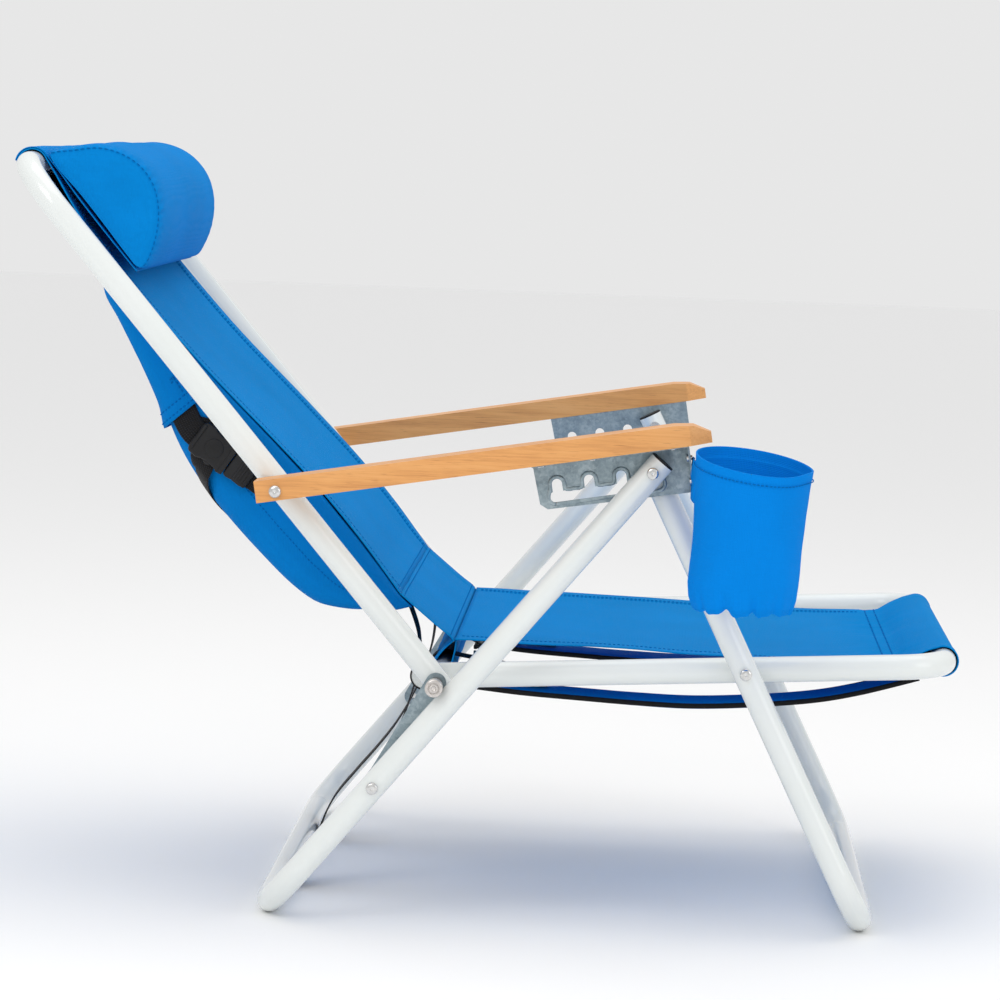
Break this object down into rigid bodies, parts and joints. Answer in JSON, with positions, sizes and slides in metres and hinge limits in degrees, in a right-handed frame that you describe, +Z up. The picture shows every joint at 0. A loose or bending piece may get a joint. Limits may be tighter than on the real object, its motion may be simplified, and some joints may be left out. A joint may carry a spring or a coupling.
{
  "type": "beach chair",
  "caption": "Low folding beach chair: white tube frame, blue fabric sling, wooden armrests with notched recline brackets, head pillow, rear storage pouch and a cup bag.",
  "frame": {"origin": "on the floor, on the chair's middle plane, straight below the axis of the hinge between seat and backrest", "axes": "+X forward, the way the sitter faces; +Y to the sitter's left; +Z up"},
  "size_m": [0.8328, 0.7154, 0.659],
  "materials": {
    "white_tube": "glossy white powder coat on steel tube",
    "zinc_steel": "dull galvanised sheet",
    "steel_rivet": "plated, satin",
    "bright_bolt": "bright nickel plate",
    "grey_plastic": "matte dark grey",
    "black_plastic": "matte black",
    "arm_wood": "oiled hardwood, satin, grain along the board",
    "sling_fabric": "bright blue woven polyester",
    "strap_fabric": "bright blue woven polyester",
    "pillow_fabric": "bright blue woven polyester",
    "bag_fabric": "bright blue woven polyester",
    "pouch_fabric": "blue woven polyester",
    "webbing": "black woven webbing"
  },
  "bodies": {
    "seat": {"seat_frame": "white_tube", "seat_crossbar": "white_tube", "seat_sling": "sling_fabric", "front_leg_rivets": "steel_rivet", "seat_end_plugs": "black_plastic", "shoulder_strap_right": "strap_fabric", "shoulder_strap_left": "strap_fabric", "strap_adjusters": "black_plastic"},
    "hinge_hub": {"hinge_bolts": "bright_bolt", "hinge_spacers": "grey_plastic", "hinge_nuts": "steel_rivet", "hinge_washers": "steel_rivet"},
    "backrest": {"backrest_frame": "white_tube", "back_sling": "sling_fabric", "storage_pouch": "pouch_fabric", "pouch_webbing": "webbing", "backrest_plugs": "black_plastic", "buckle_socket_right": "black_plastic", "buckle_socket_left": "black_plastic"},
    "buckle_right": {"buckle_tongue_right": "black_plastic"},
    "buckle_left": {"buckle_tongue_left": "black_plastic"},
    "pillow": {"head_pillow": "pillow_fabric"},
    "arm_rivets": {"armrest_rivets": "steel_rivet"},
    "arm_right": {"armrest_right": "arm_wood", "bracket_right": "zinc_steel", "bracket_screws_right": "steel_rivet", "cup_bag": "bag_fabric", "cup_bag_rivets": "steel_rivet"},
    "arm_left": {"armrest_left": "arm_wood", "bracket_left": "zinc_steel", "bracket_screws_left": "steel_rivet"},
    "front_legs": {"front_leg_frame": "white_tube", "front_leg_plugs": "black_plastic", "pivot_pins_inner": "steel_rivet"},
    "rear_legs": {"rear_leg_frame": "white_tube", "rear_leg_plugs": "black_plastic", "pivot_pins_outer": "steel_rivet", "link_rivets": "steel_rivet", "tie_strap_loops": "webbing"},
    "link_right": {"link_right": "zinc_steel"},
    "link_left": {"link_left": "zinc_steel"}
  },
  "joints": [
    {"name": "backrest_fold", "type": "hinge", "parent": "hinge_hub", "child": "backrest", "pos_m": [0, 0, 0.209], "axis": [0, 1, 0], "range_deg": [0, 106.9]},
    {"name": "backrest_recline", "type": "hinge", "parent": "seat", "child": "hinge_hub", "pos_m": [0, 0, 0.209], "axis": [0, -1, 0], "range_deg": [-25, 0]},
    {"name": "arm_rivet_turn", "type": "hinge", "parent": "backrest", "child": "arm_rivets", "pos_m": [-0.13983, 0, 0.371], "axis": [0, -1, 0], "range_deg": [0, 17.9]},
    {"name": "arm_right_turn", "type": "hinge", "parent": "arm_rivets", "child": "arm_right", "pos_m": [-0.13983, 0, 0.371], "axis": [0, -1, 0], "range_deg": [0, 108]},
    {"name": "arm_left_turn", "type": "hinge", "parent": "arm_rivets", "child": "arm_left", "pos_m": [-0.13983, 0, 0.371], "axis": [0, -1, 0], "range_deg": [0, 108]},
    {"name": "front_legs_turn", "type": "hinge", "parent": "seat", "child": "front_legs", "pos_m": [0.264, 0, 0.227], "axis": [0, 1, 0], "range_deg": [0, 92.1]},
    {"name": "rear_legs_turn", "type": "hinge", "parent": "front_legs", "child": "rear_legs", "pos_m": [0.178, 0, 0.398], "axis": [0, -1, 0], "range_deg": [0, 61.2]},
    {"name": "link_right_turn", "type": "hinge", "parent": "seat", "child": "link_right", "pos_m": [0, 0, 0.209], "axis": [0, -1, 0], "range_deg": [0, 106.3]},
    {"name": "link_left_turn", "type": "hinge", "parent": "seat", "child": "link_left", "pos_m": [0, 0, 0.209], "axis": [0, -1, 0], "range_deg": [0, 106.3]},
    {"name": "pillow_lift", "type": "hinge", "parent": "backrest", "child": "pillow", "pos_m": [-0.36984, 0, 0.63746], "axis": [0, -1, 0], "range_deg": [0, 70]},
    {"name": "buckle_right_slide", "type": "slide", "parent": "backrest", "child": "buckle_right", "axis": [0.8241, 0, -0.5664], "range_m": [0, 0.025]},
    {"name": "buckle_left_slide", "type": "slide", "parent": "backrest", "child": "buckle_left", "axis": [0.8241, 0, -0.5664], "range_m": [0, 0.025]}
  ],
  "couplings": [
    {"joint": "arm_rivet_turn", "follows": "backrest_recline", "ratio": -0.71027},
    {"joint": "arm_right_turn", "follows": "backrest_fold", "ratio": 1.0093},
    {"joint": "arm_left_turn", "follows": "backrest_fold", "ratio": 1.0093},
    {"joint": "front_legs_turn", "follows": "backrest_fold", "ratio": 0.86072},
    {"joint": "rear_legs_turn", "follows": "backrest_fold", "ratio": 0.57124},
    {"joint": "link_right_turn", "follows": "backrest_fold", "ratio": 0.99333},
    {"joint": "link_left_turn", "follows": "backrest_fold", "ratio": 0.99333}
  ]
}
